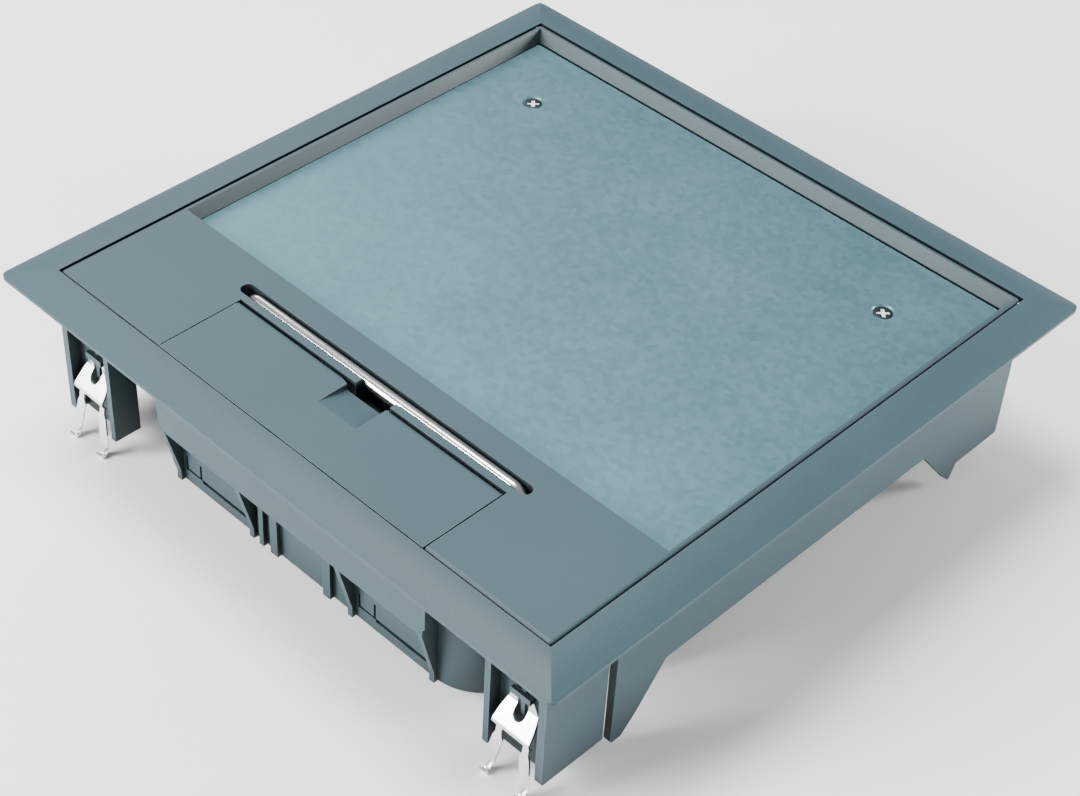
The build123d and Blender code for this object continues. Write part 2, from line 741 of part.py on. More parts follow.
# Plate screws: countersunk heads with a cross recess, and the brass inserts that they turn into
with BuildPart() as plate_screws:
    head_top = plate_top - screw_head_drop
    head_height = screw_head_radius - screw_shank_radius
    for side in (-1, 1):
        with BuildSketch(Plane.XZ.offset(-screw_y)):
            with BuildLine():
                Polyline(
                    (side * screw_x, head_top),
                    (side * screw_x + screw_head_radius, head_top),
                    (side * screw_x + screw_shank_radius, head_top - head_height),
                    (side * screw_x + screw_shank_radius, head_top - screw_length),
                    (side * screw_x, head_top - screw_length),
                    close=True,
                )
            make_face()
        revolve(axis=Axis((side * screw_x, screw_y, 0), (0, 0, 1)))
    with BuildSketch(Plane.XY.offset(head_top)):
        with Locations((-screw_x, screw_y), (screw_x, screw_y)):
            Rectangle(1.3 * screw_head_radius, screw_cross, rotation=45)
            Rectangle(screw_cross, 1.3 * screw_head_radius, rotation=45)
    extrude(amount=-screw_cross_depth, taper=8, mode=Mode.SUBTRACT)
plate_screws.part.label = "plate_screws"
export_step(plate_screws.part, "parts/plate_screws.step")

with BuildPart() as screw_inserts:
    with BuildSketch(Plane.XY.offset(floor_level - boss_depth)):
        with Locations((-screw_x, screw_y), (screw_x, screw_y)):
            RegularPolygon(insert_radius, 6)
            Circle(screw_shank_radius + insert_clearance, mode=Mode.SUBTRACT)
    extrude(amount=plate_bottom - floor_level + boss_depth)
screw_inserts.part.label = "screw_inserts"
export_step(screw_inserts.part, "parts/screw_inserts.step")


# Handle: one round steel bar bent to a flat bow, with a stop collar on each leg
with BuildPart() as handle_bow:
    leg_end = handle_level - handle_leg
    bend_x = handle_x - handle_bend
    bend_level = handle_level - handle_bend
    with BuildSketch(Plane.YZ.offset(-bend_x)):
        with Locations((handle_y, handle_level)):
            Circle(handle_radius)
    extrude(amount=2 * bend_x)
    for side in (-1, 1):
        with BuildSketch(Plane.XY.offset(bend_level)) as leg_section:
            with Locations((side * handle_x, handle_y)):
                Circle(handle_radius)
        extrude(amount=leg_end - bend_level)
        bend_axis = Axis((side * bend_x, handle_y, bend_level), (0, -side, 0))
        revolve(leg_section.sketch, axis=bend_axis, revolution_arc=90)
handle_bow.part.label = "handle_bow"
export_step(handle_bow.part, "parts/handle_bow.step")

with BuildPart() as handle_collars:
    with BuildSketch(Plane.XY.offset(leg_end + collar_margin)):
        with Locations((-handle_x, handle_y), (handle_x, handle_y)):
            Circle(collar_radius)
            Circle(handle_radius, mode=Mode.SUBTRACT)
    extrude(amount=collar_height)
handle_collars.part.label = "handle_collars"
export_step(handle_collars.part, "parts/handle_collars.step")


# Cord outlet flap: turns up about its rear edge, with a finger scoop beside the handle
with BuildPart() as cord_flap:
    with BuildSketch(Plane.YZ.offset(-flap_width / 2)):
        with BuildLine():
            lip_rear = flap_front + flap_lip
            Polyline(
                (flap_axis_y, flap_bottom),
                (lip_rear, flap_bottom),
                (lip_rear, seal_top),
                (flap_front + flap_undercut, seal_top),
                (flap_front, top_level),
                (flap_axis_y, top_level),
            )
            ThreePointArc(
                (flap_axis_y, top_level), (flap_rear, flap_axis_level), (flap_axis_y, flap_bottom)
            )
        make_face()
    extrude(amount=flap_width)
    with BuildSketch(Plane.XY.offset(top_level)):
        with BuildLine():
            Polyline(
                (-grip_left - grip_slant, flap_rear + 1),
                (-grip_left - grip_slant, flap_rear),
                (-grip_left, flap_rear - grip_inset),
                (grip_right, flap_rear - grip_inset),
                (grip_right, flap_rear + 1),
                close=True,
            )
        make_face()
    extrude(amount=-flap_thickness, mode=Mode.SUBTRACT)
    with BuildSketch(Plane.YZ.offset(-grip_left - 1.5)):
        with BuildLine():
            Polyline(
                (flap_rear - grip_inset - scoop_length, top_level),
                (flap_rear, top_level - scoop_depth),
                (flap_rear, top_level),
                close=True,
            )
        make_face()
    extrude(amount=grip_width + 1.5, mode=Mode.SUBTRACT)
    pocket_length = flap_length - flap_lip - foam_margin - flap_edge
    with BuildSketch(Plane.XY.offset(flap_bottom)):
        with Locations((0, lip_rear + foam_margin / 2 + pocket_length / 2)):
            with GridLocations(0.67 * flap_width, 0, 2, 1):
                Rectangle(0.25 * flap_width, pocket_length)
    extrude(amount=flap_thickness - flap_skin, mode=Mode.SUBTRACT)
    flap_pin_start = flap_width / 2 - flap_pin_length + flap_pin_reach
    for side in (-1, 1):
        with BuildSketch(Plane.YZ.offset(side * flap_pin_start)):
            with Locations((flap_axis_y, flap_axis_level)):
                Circle(flap_pin_radius)
        extrude(amount=side * flap_pin_length, mode=Mode.SUBTRACT)
cord_flap.part.label = "cord_flap"
export_step(cord_flap.part, "parts/cord_flap.step")

with BuildPart() as flap_pins:
    for side in (-1, 1):
        with BuildSketch(Plane.YZ.offset(side * flap_pin_start)):
            with Locations((flap_axis_y, flap_axis_level)):
                Circle(flap_pin_radius)
        extrude(amount=side * flap_pin_length)
flap_pins.part.label = "flap_pins"
export_step(flap_pins.part, "parts/flap_pins.step")

# Foam strip under the flap, slit like a comb so that it closes round the cords
with BuildPart() as flap_foam:
    foam_y = flap_front + foam_margin + foam_length / 2
    with BuildSketch(Plane.XY.offset(flap_bottom - foam_height)):
        with Locations((0, foam_y)):
            Rectangle(foam_width, foam_length)
    extrude(amount=foam_height)
    with BuildSketch(Plane.XY.offset(flap_bottom - foam_height)):
        with Locations((0, foam_y)):
            with GridLocations(foam_slit_pitch, 0, int(foam_width / foam_slit_pitch) - 1, 1):
                Rectangle(foam_slit, foam_length)
    extrude(amount=foam_height * 0.7, mode=Mode.SUBTRACT)
flap_foam.part.label = "flap_foam"
export_step(flap_foam.part, "parts/flap_foam.step")


# Device cups: three moulded trays side by side, hung by their ears on the shelves of the frame, each
# with a cover plate that carries three square modules
post_x = cup_length / 2 - cup_post_margin
window_length = module_count * module
for cup_name, cup_y in zip(cup_names, cup_places):
    with BuildPart() as device_cup:
        with BuildSketch(Plane.XY.offset(cup_top - cup_depth)) as cup_outline:
            with Locations((0, cup_y)):
                Rectangle(cup_length, cup_width)
            chamfer(cup_outline.vertices(), length=cup_corner)
        extrude(amount=cup_depth)
        with BuildSketch(Plane.XY.offset(cup_top)) as cup_hollow:
            with Locations((0, cup_y)):
                Rectangle(cup_length - 2 * cup_wall, cup_width - 2 * cup_wall)
            chamfer(cup_hollow.vertices(), length=cup_corner)
        extrude(amount=cup_wall - cup_depth, mode=Mode.SUBTRACT)
        with BuildSketch(Plane.XY.offset(cup_top - cup_wall)):
            with GridLocations(cup_length + cup_ear - cup_wall, 0, 2, 1):
                with Locations((0, cup_y)):
                    Rectangle(cup_ear + cup_wall, cup_width / 2)
        extrude(amount=cup_wall)
        with BuildSketch(Plane.XY.offset(cup_top - cup_depth)):
            with Locations((-post_x, cup_y), (post_x, cup_y)):
                RegularPolygon(cup_post_radius, 8)
        extrude(amount=cup_depth)
        with BuildSketch(Plane.XY.offset(cup_top)):
            with Locations((-post_x, cup_y), (post_x, cup_y)):
                Circle(cover_screw_radius / 2 + pin_clearance)
        extrude(amount=-cover_screw_length, mode=Mode.SUBTRACT)
        # Cord entries, open at the top, two in each long wall
        with BuildSketch(Plane.XY.offset(cup_top)):
            with Locations((0, cup_y)):
                with GridLocations(2 * cup_entry_place, cup_width - cup_wall, 2, 2):
                    Rectangle(cup_entry_width, 2 * cup_wall)
        extrude(amount=-cup_entry_depth, mode=Mode.SUBTRACT)
    device_cup.part.label = f"device_cup_{cup_name}"
    export_step(device_cup.part, f"parts/device_cup_{cup_name}.step")

    with BuildPart() as cup_cover:
        with BuildSketch(Plane.XY.offset(cup_top)) as cover_outline:
            with Locations((0, cup_y)):
                Rectangle(cup_length, cup_width)
            chamfer(cover_outline.vertices(), length=cup_corner)
            with Locations((0, cup_y)):
                Rectangle(window_length, module, mode=Mode.SUBTRACT)
            with Locations((-post_x, cup_y), (post_x, cup_y)):
                Circle(cover_screw_radius / 2 + pin_clearance, mode=Mode.SUBTRACT)
        extrude(amount=cover_thickness)
    cup_cover.part.label = f"cup_cover_{cup_name}"
    export_step(cup_cover.part, f"parts/cup_cover_{cup_name}.step")

with BuildPart() as cover_screws:
    with BuildSketch(Plane.XY.offset(device_level)):
        for cup_y in cup_places:
            with Locations((-post_x, cup_y), (post_x, cup_y)):
                Circle(cover_screw_radius)
    extrude(amount=cover_screw_head)
    with BuildSketch(Plane.XY.offset(device_level)):
        for cup_y in cup_places:
            with Locations((-post_x, cup_y), (post_x, cup_y)):
                RegularPolygon(cover_screw_radius / 2, 8)
    extrude(amount=-cover_thickness - cover_screw_length + 1)
cover_screws.part.label = "cover_screws"
export_step(cover_screws.part, "parts/cover_screws.step")


def module_block(depth):
    """Face plate resting on the cover and the body below it that fills the window."""
    with BuildPart() as block:
        with BuildSketch(Plane.XY.offset(-depth)):
            Rectangle(module - 2 * module_gap, module - 2 * module_gap)
        extrude(amount=depth)
        with BuildSketch():
            Rectangle(module - 2 * module_gap, module + 2 * module_lip)
        extrude(amount=module_lip_height)
        chamfer(block.edges().group_by(Axis.Z)[-1], length=module_bevel)
    return block.part


# Socket outlets: three in the rear cup and three in the middle one, each with a round well, two side
# keys and two contact holes
face_level = device_level + module_lip_height
module_places = [(column - 1) * module for column in range(module_count)]
socket_places = [(x, y) for y in (cup_places[2], cup_places[1]) for x in module_places]
for number, (socket_x, socket_y) in enumerate(socket_places, start=1):
    with BuildPart() as socket_outlet:
        with Locations((socket_x, socket_y, device_level)):
            add(module_block(socket_depth))
        with BuildSketch(Plane.XY.offset(face_level)):
            with Locations((socket_x, socket_y)):
                Circle(socket_recess_radius)
                with GridLocations(2 * socket_recess_radius, 0, 2, 1):
                    Rectangle(2 * key_depth, key_width, mode=Mode.SUBTRACT)
        extrude(amount=-socket_recess_depth, mode=Mode.SUBTRACT)
        with BuildSketch(Plane.XY.offset(face_level - socket_recess_depth)):
            with Locations((socket_x, socket_y)):
                with GridLocations(socket_pin_spacing, 0, 2, 1):
                    RegularPolygon(socket_pin_radius, 12)
        extrude(amount=-socket_pin_depth, mode=Mode.SUBTRACT)
    socket_outlet.part.label = f"socket_outlet_{number}"
    export_step(socket_outlet.part, f"parts/socket_outlet_{number}.step")

# Earth springs: two bent strips in the well of each socket
with BuildPart() as earth_springs:
    spring_foot = face_level - socket_recess_depth
    for socket_x, socket_y in socket_places:
        for side in (-1, 1):
            root = socket_y + side * (socket_recess_radius - earth_margin)
            crest = root - side * earth_thickness * 2
            with BuildSketch(Plane.YZ.offset(socket_x - earth_width / 2)):
                with BuildLine():
                    Polyline(
                        (root, spring_foot),
                        (root, spring_foot + earth_height / 3),
                        (crest, spring_foot + earth_height * 0.75),
                        (root, spring_foot + earth_height),
                        (root + side * earth_thickness, spring_foot + earth_height),
                        (crest + side * earth_thickness, spring_foot + earth_height * 0.75),
                        (root + side * earth_thickness, spring_foot + earth_height / 3),
                        (root + side * earth_thickness, spring_foot),
                        close=True,
                    )
                make_face()
            extrude(amount=earth_width)
earth_springs.part.label = "earth_springs"
export_step(earth_springs.part, "parts/earth_springs.step")

# Front cup: two data outlets with a pair of ports each, and a blank module between them
for side_name, data_x in (("left", module_places[0]), ("right", module_places[2])):
    with BuildPart() as data_outlet:
        with Locations((data_x, cup_places[0], device_level)):
            add(module_block(data_depth))
        with BuildSketch(Plane.XY.offset(face_level)):
            with Locations((data_x, cup_places[0])):
                with GridLocations(data_port_spacing, 0, 2, 1):
                    Rectangle(data_port_width, data_port_height)
                    with Locations((0, data_port_height / 2 + data_key_height / 2)):
                        Rectangle(data_port_width / 2, data_key_height)
        extrude(amount=-data_port_depth, mode=Mode.SUBTRACT)
    data_outlet.part.label = f"data_outlet_{side_name}"
    export_step(data_outlet.part, f"parts/data_outlet_{side_name}.step")

with BuildPart() as blank_module:
    with Locations((module_places[1], cup_places[0], device_level)):
        add(module_block(blank_depth))
    with BuildSketch(Plane.XY.offset(device_level - blank_depth)):
        with Locations((module_places[1], cup_places[0])):
            Rectangle(module - 4 * cup_wall, module - 4 * cup_wall)
    extrude(amount=blank_depth, mode=Mode.SUBTRACT)
blank_module.part.label = "blank_module"
export_step(blank_module.part, "parts/blank_module.step")
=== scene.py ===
import math

import bmesh
import bpy
from mathutils import Matrix, Vector


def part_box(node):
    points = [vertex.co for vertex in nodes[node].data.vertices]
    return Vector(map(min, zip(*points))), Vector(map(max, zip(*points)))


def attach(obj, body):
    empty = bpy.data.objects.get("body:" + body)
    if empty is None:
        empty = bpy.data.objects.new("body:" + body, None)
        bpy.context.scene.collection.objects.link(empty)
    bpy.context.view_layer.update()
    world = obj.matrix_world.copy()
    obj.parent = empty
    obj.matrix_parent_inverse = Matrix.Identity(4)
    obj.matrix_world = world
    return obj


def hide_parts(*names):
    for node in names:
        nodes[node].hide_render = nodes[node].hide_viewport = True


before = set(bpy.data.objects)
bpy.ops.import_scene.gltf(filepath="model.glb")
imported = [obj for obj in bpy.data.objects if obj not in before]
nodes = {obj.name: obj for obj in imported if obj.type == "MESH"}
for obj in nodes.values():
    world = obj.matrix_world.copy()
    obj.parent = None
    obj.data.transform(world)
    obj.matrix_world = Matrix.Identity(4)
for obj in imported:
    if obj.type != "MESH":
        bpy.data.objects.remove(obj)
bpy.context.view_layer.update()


# Floor frame, lid tray and cord outlet flap: three mouldings of one glass-filled plastic in iron grey,
# with the fine matt texture of a spark-eroded mould, small flow clouds, rubbed edges and painted shade in
# the recesses.
# The frame (two CAD nodes) lies on the floor by its flange, the lid turns on two pins, the flap on two more.
def shader_group(name, inputs, outputs):
    tree = bpy.data.node_groups.new(name, "ShaderNodeTree")
    for label, kind, default in inputs:
        socket = tree.interface.new_socket(name=label, in_out="INPUT", socket_type=kind)
        socket.default_value = default
    for label, kind in outputs:
        tree.interface.new_socket(name=label, in_out="OUTPUT", socket_type=kind)
    return tree, tree.nodes.new("NodeGroupInput"), tree.nodes.new("NodeGroupOutput")


def node(tree, kind, links=None, **settings):
    """One node; links maps its input names or numbers to a socket or to a plain value."""
    made = tree.nodes.new(kind)
    for name, value in settings.items():
        setattr(made, name, value)
    for key, value in (links or {}).items():
        socket = made.inputs[key]
        if isinstance(value, bpy.types.NodeSocket):
            tree.links.new(value, socket)
        else:
            socket.default_value = value
    return made


def math_node(tree, operation, first, second=0.0):
    return node(tree, "ShaderNodeMath", {0: first, 1: second}, operation=operation).outputs[0]


def ramp(tree, value, low, high):
    """0 below low and 1 above high, smooth between."""
    made = node(
        tree, "ShaderNodeMapRange",
        {"Value": value, "From Min": low, "From Max": high},
        interpolation_type="SMOOTHSTEP",
    )
    return made.outputs["Result"]


def mix_colour(tree, factor, first, second, blend="MIX"):
    made = node(tree, "ShaderNodeMix", data_type="RGBA", blend_type=blend)
    for socket, value in ((made.inputs[0], factor), (made.inputs[6], first), (made.inputs[7], second)):
        if isinstance(value, bpy.types.NodeSocket):
            tree.links.new(value, socket)
        else:
            socket.default_value = value
    return made.outputs[2]


FLOAT, COLOUR = "NodeSocketFloat", "NodeSocketColor"

edge_rub, g_in, g_out = shader_group(
    "rubbed edges", [("Radius", FLOAT, 0.0006), ("Breakup", FLOAT, 90.0)], [("Mask", FLOAT)]
)
rounded = node(edge_rub, "ShaderNodeBevel", {"Radius": g_in.outputs["Radius"]}, samples=6)
facing = node(edge_rub, "ShaderNodeNewGeometry")
closeness = node(
    edge_rub, "ShaderNodeVectorMath", {0: rounded.outputs[0], 1: facing.outputs["Normal"]},
    operation="DOT_PRODUCT",
)
place = node(edge_rub, "ShaderNodeTexCoord")
patches = node(
    edge_rub, "ShaderNodeTexNoise",
    {"Vector": place.outputs["Object"], "Scale": g_in.outputs["Breakup"], "Detail": 4.0},
)
near_edge = ramp(edge_rub, math_node(edge_rub, "SUBTRACT", 1.0, closeness.outputs["Value"]), 0.02, 0.25)
broken = ramp(edge_rub, patches.outputs["Fac"], 0.3, 0.65)
edge_rub.links.new(math_node(edge_rub, "MULTIPLY", near_edge, broken), g_out.inputs["Mask"])

mould_texture_and_shade, g_in, g_out = shader_group(
    "mould texture and painted shade",
    [
        ("Colour", COLOUR, (0.2, 0.2, 0.2, 1)),
        ("Cloud colour", COLOUR, (0.3, 0.3, 0.3, 1)),
        ("Cloud size", FLOAT, 18.0),
        ("Grain size", FLOAT, 1600.0),
        ("Roughness", FLOAT, 0.5),
        ("Painted shade reach", FLOAT, 0.03),
        ("Painted recess shade", FLOAT, 0.12),
    ],
    [("Colour", COLOUR), ("Roughness", FLOAT), ("Height", FLOAT)],
)
place = node(mould_texture_and_shade, "ShaderNodeTexCoord")
clouds = node(
    mould_texture_and_shade, "ShaderNodeTexNoise",
    {"Vector": place.outputs["Object"], "Scale": g_in.outputs["Cloud size"], "Detail": 5.0},
)
grain = node(
    mould_texture_and_shade, "ShaderNodeTexNoise",
    {"Vector": place.outputs["Object"], "Scale": g_in.outputs["Grain size"], "Detail": 3.0},
)
pits = node(
    mould_texture_and_shade, "ShaderNodeTexVoronoi",
    {"Vector": place.outputs["Object"], "Scale": g_in.outputs["Grain size"]},
)
cloud_share = 0.35
rough_swing = 0.12
cloud_mask = math_node(
    mould_texture_and_shade, "MULTIPLY", ramp(mould_texture_and_shade, clouds.outputs["Fac"], 0.35, 0.7), cloud_share
)
toned = mix_colour(mould_texture_and_shade, cloud_mask, g_in.outputs["Colour"], g_in.outputs["Cloud colour"])
speck = ramp(mould_texture_and_shade, grain.outputs["Fac"], 0.35, 0.75)
speck_tone = mix_colour(mould_texture_and_shade, speck, (0.93, 0.93, 0.94, 1), (1.07, 1.07, 1.06, 1))
speckled = mix_colour(mould_texture_and_shade, 1.0, toned, speck_tone, "MULTIPLY")
# Painted shade: where a place is closed in by what is around it, the colour is darkened down to a set share
# of itself, as shade would fall there
openness = node(
    mould_texture_and_shade, "ShaderNodeAmbientOcclusion", {"Distance": g_in.outputs["Painted shade reach"]}, samples=8
)
painted_recess_shade = node(
    mould_texture_and_shade, "ShaderNodeMapRange",
    {"Value": openness.outputs["AO"], "From Min": 0.3, "From Max": 0.95,
     "To Min": g_in.outputs["Painted recess shade"]},
)
shaded = node(
    mould_texture_and_shade, "ShaderNodeVectorMath", {0: speckled, "Scale": painted_recess_shade.outputs["Result"]},
    operation="SCALE",
)
mould_texture_and_shade.links.new(shaded.outputs[0], g_out.inputs["Colour"])
centred_clouds = math_node(mould_texture_and_shade, "SUBTRACT", clouds.outputs["Fac"], 0.5)
rough = math_node(
    mould_texture_and_shade, "ADD", g_in.outputs["Roughness"],
    math_node(mould_texture_and_shade, "MULTIPLY", centred_clouds, rough_swing),
)
mould_texture_and_shade.links.new(rough, g_out.inputs["Roughness"])
height = math_node(mould_texture_and_shade, "ADD", grain.outputs["Fac"], pits.outputs["Distance"])
mould_texture_and_shade.links.new(height, g_out.inputs["Height"])


def group_node(tree, group, values):
    made = tree.nodes.new("ShaderNodeGroup")
    made.node_tree = group
    for name, value in values.items():
        made.inputs[name].default_value = value
    return made


def new_material(name):
    material = bpy.data.materials.new(name)
    material.use_nodes = True
    return material, material.node_tree, material.node_tree.nodes["Principled BSDF"]


def add_relief(tree, shader, height, strength, distance, invert=False):
    relief = node(
        tree, "ShaderNodeBump", {"Height": height, "Strength": strength, "Distance": distance}, invert=invert
    )
    tree.links.new(relief.outputs["Normal"], shader.inputs["Normal"])


def moulded(name, colour, cloud, edge, rough, grain=1600.0, bump=0.25):
    """A moulded plastic from the shared groups, with its own colours and values."""
    material, tree, shader = new_material(name)
    skin = group_node(
        tree, mould_texture_and_shade,
        {"Colour": colour, "Cloud colour": cloud, "Grain size": grain, "Roughness": rough},
    )
    rub = group_node(tree, edge_rub, {"Radius": 0.0005})
    tree.links.new(
        mix_colour(tree, rub.outputs["Mask"], skin.outputs["Colour"], edge), shader.inputs["Base Color"]
    )
    tree.links.new(skin.outputs["Roughness"], shader.inputs["Roughness"])
    add_relief(tree, shader, skin.outputs["Height"], bump, 0.00005)
    shader.inputs["IOR"].default_value = 1.5
    shader.inputs["Specular IOR Level"].default_value = 0.28
    return material


def wear(names, material):
    """Give CAD nodes their material."""
    for name in names:
        slots = nodes[name].data.materials
        slots.clear()
        slots.append(material)


iron_grey = moulded(
    "iron grey moulding", (0.034, 0.063, 0.075, 1), (0.041, 0.074, 0.087, 1), (0.10, 0.14, 0.155, 1), 0.5
)
wear(["floor_frame", "frame_flange", "lid_tray", "cord_flap"], iron_grey)


# Steel plate: 3 mm zinc plated sheet that carries the floor covering, held by two countersunk screws.
# The zinc has a dull pale bloom with fine crystals and the faint lines of the rolling mill.
zinc, tree, shader = new_material("zinc plated sheet")
place = node(tree, "ShaderNodeTexCoord")
crystals = node(tree, "ShaderNodeTexVoronoi", {"Vector": place.outputs["Object"], "Scale": 420.0})
crystal_tone = node(tree, "ShaderNodeSeparateColor", {"Color": crystals.outputs["Color"]})
rolled = node(tree, "ShaderNodeMapping", {"Vector": place.outputs["Object"], "Scale": (30.0, 1800.0, 30.0)})
lines = node(tree, "ShaderNodeTexNoise", {"Vector": rolled.outputs["Vector"], "Scale": 1.0, "Detail": 3.0})
bloom = node(
    tree, "ShaderNodeTexNoise", {"Vector": place.outputs["Object"], "Scale": 22.0, "Detail": 6.0}
)
crystal_share, bloom_share = 0.35, 0.65
tone = math_node(
    tree, "ADD",
    math_node(tree, "MULTIPLY", crystal_tone.outputs["Red"], crystal_share),
    math_node(tree, "MULTIPLY", bloom.outputs["Fac"], bloom_share),
)
tree.links.new(
    mix_colour(tree, tone, (0.080, 0.18, 0.205, 1), (0.122, 0.235, 0.26, 1)), shader.inputs["Base Color"]
)
shader.inputs["Metallic"].default_value = 0.7
least_rough, rough_swing = 0.38, 0.14
rough = math_node(tree, "ADD", least_rough, math_node(tree, "MULTIPLY", tone, rough_swing))
tree.links.new(rough, shader.inputs["Roughness"])
zinc_height = math_node(tree, "ADD", lines.outputs["Fac"], crystal_tone.outputs["Green"])
add_relief(tree, shader, zinc_height, 0.08, 0.00003)
wear(["steel_plate"], zinc)


# Handle: a bright drawn steel bar bent to a bow, which lies in its slot and slides up on its two legs.
# The collars pressed on the legs stop it below the lid; they and all pins are zinc plated turned steel.
def bright_metal(name, dark, light, rough, scratch, spread=0.1):
    """Polished or plated metal with fine drawn scratches and soft smudges."""
    material, tree, shader = new_material(name)
    place = node(tree, "ShaderNodeTexCoord")
    stretched = node(tree, "ShaderNodeMapping", {"Vector": place.outputs["Object"], "Scale": scratch})
    lines = node(
        tree, "ShaderNodeTexNoise", {"Vector": stretched.outputs["Vector"], "Scale": 1.0, "Detail": 4.0}
    )
    smudge = node(
        tree, "ShaderNodeTexNoise", {"Vector": place.outputs["Object"], "Scale": 140.0, "Detail": 3.0}
    )
    tree.links.new(
        mix_colour(tree, ramp(tree, smudge.outputs["Fac"], 0.3, 0.7), dark, light),
        shader.inputs["Base Color"],
    )
    shader.inputs["Metallic"].default_value = 1.0
    rough_value = math_node(tree, "ADD", rough, math_node(tree, "MULTIPLY", lines.outputs["Fac"], spread))
    tree.links.new(rough_value, shader.inputs["Roughness"])
    add_relief(tree, shader, lines.outputs["Fac"], 0.04, 0.00002)
    return material


polished = bright_metal(
    "polished bar", (0.78, 0.80, 0.82, 1), (0.90, 0.91, 0.92, 1), 0.17, (40.0, 1500.0, 1500.0), 0.05
)
plated = bright_metal(
    "zinc plated steel", (0.50, 0.52, 0.52, 1), (0.66, 0.68, 0.68, 1), 0.26, (400.0, 400.0, 400.0)
)
wear(["handle_collars", "hinge_pins", "flap_pins"], plated)

MATERIAL, GEOMETRY = "NodeSocketMaterial", "NodeSocketGeometry"
WELD_DISTANCE = 1e-7
CREASE_ANGLE = math.radians(32)


def geometry_tree(name, sizes):
    """An empty Geometry Nodes tree with named inputs for its sizes and its materials."""
    tree = bpy.data.node_groups.new(name, "GeometryNodeTree")
    tree.is_modifier = True
    tree.interface.new_socket(name="Geometry", in_out="INPUT", socket_type=GEOMETRY)
    for label in sizes:
        tree.interface.new_socket(name=label, in_out="INPUT", socket_type=FLOAT)
    tree.interface.new_socket(name="Material", in_out="INPUT", socket_type=MATERIAL)
    tree.interface.new_socket(name="Marked material", in_out="INPUT", socket_type=MATERIAL)
    tree.interface.new_socket(name="Geometry", in_out="OUTPUT", socket_type=GEOMETRY)
    return tree, tree.nodes.new("NodeGroupInput"), tree.nodes.new("NodeGroupOutput")


def close_tree(tree, g_in, g_out, geometry, marked=None):
    """marked, if given: which faces take the input Marked material instead."""
    real = node(tree, "GeometryNodeRealizeInstances", {"Geometry": geometry})
    dressed = node(
        tree, "GeometryNodeSetMaterial",
        {"Geometry": real.outputs[0], "Material": g_in.outputs["Material"]},
    )
    if marked:
        dressed = node(
            tree, "GeometryNodeSetMaterial",
            {"Geometry": dressed.outputs[0], "Selection": marked,
             "Material": g_in.outputs["Marked material"]},
        )
    tree.links.new(dressed.outputs[0], g_out.inputs["Geometry"])


def grown(name, points, edges, tree, values, body, stands_for, turns=None):
    """Runs a tree on points or a path, and keeps the result as one plain closed mesh on its body."""
    start = bpy.data.meshes.new(name + "_start")
    start.from_pydata(points, edges, [])
    if turns:
        start.attributes.new("turn", "FLOAT", "POINT").data.foreach_set("value", turns)
    host = bpy.data.objects.new(name + "_host", start)
    bpy.context.scene.collection.objects.link(host)
    modifier = host.modifiers.new("grow", "NODES")
    modifier.node_group = tree
    for item in tree.interface.items_tree:
        if item.in_out == "INPUT" and item.name in values:
            modifier[item.identifier] = values[item.name]
    bpy.context.view_layer.update()
    mesh = bpy.data.meshes.new_from_object(host.evaluated_get(bpy.context.evaluated_depsgraph_get()))
    host.modifiers.remove(modifier)
    bpy.data.objects.remove(host)
    shell = bmesh.new()
    shell.from_mesh(mesh)
    bmesh.ops.remove_doubles(shell, verts=shell.verts, dist=WELD_DISTANCE)
    bmesh.ops.recalc_face_normals(shell, faces=shell.faces)
    shell.to_mesh(mesh)
    shell.free()
    mesh.name = name
    mesh.shade_smooth()
    mesh.set_sharp_from_angle(angle=CREASE_ANGLE)
    piece = bpy.data.objects.new(name, mesh)
    bpy.context.scene.collection.objects.link(piece)
    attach(piece, body)
    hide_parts(stands_for)
    return piece


def rounded_corners(tree, curve, radius, segments):
    made = node(
        tree, "GeometryNodeFilletCurve", {"Curve": curve, "Radius": radius, "Count": segments}, mode="POLY"
    )
    return made.outputs[0]


bar_tree, g_in, g_out = geometry_tree("bent bar", ["Bar radius", "Bend radius"])
line = node(bar_tree, "GeometryNodeMeshToCurve", {"Mesh": g_in.outputs["Geometry"]})
bent = rounded_corners(bar_tree, line.outputs[0], g_in.outputs["Bend radius"], 16)
section = node(
    bar_tree, "GeometryNodeCurvePrimitiveCircle", {"Resolution": 44, "Radius": g_in.outputs["Bar radius"]}
)
bar = node(
    bar_tree, "GeometryNodeCurveToMesh",
    {"Curve": bent, "Profile Curve": section.outputs["Curve"], "Fill Caps": True},
)
close_tree(bar_tree, g_in, g_out, bar.outputs[0])

low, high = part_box("handle_bow")
bar_radius = (high[1] - low[1]) / 2
bar_y = (high[1] + low[1]) / 2
bar_x = high[0] - bar_radius
bar_level = high[2] - bar_radius
grown(
    "handle_bar",
    [(-bar_x, bar_y, low[2]), (-bar_x, bar_y, bar_level), (bar_x, bar_y, bar_level), (bar_x, bar_y, low[2])],
    [(0, 1), (1, 2), (2, 3)], bar_tree,
    {"Bar radius": bar_radius, "Bend radius": 0.006, "Material": polished},
    "handle", "handle_bow",
)


# Spring clips: hardened strip, pierced and bent, bright from the rolls, their horns held under a stud in
# each corner pocket. They wedge behind the edge of the cut-out.
spring_bright = bright_metal(
    "bright spring strip", (0.80, 0.82, 0.83, 1), (0.92, 0.93, 0.94, 1), 0.2, (1200.0, 1200.0, 50.0)
)
wear([name for name in nodes if name.startswith("spring_clip")], spring_bright)
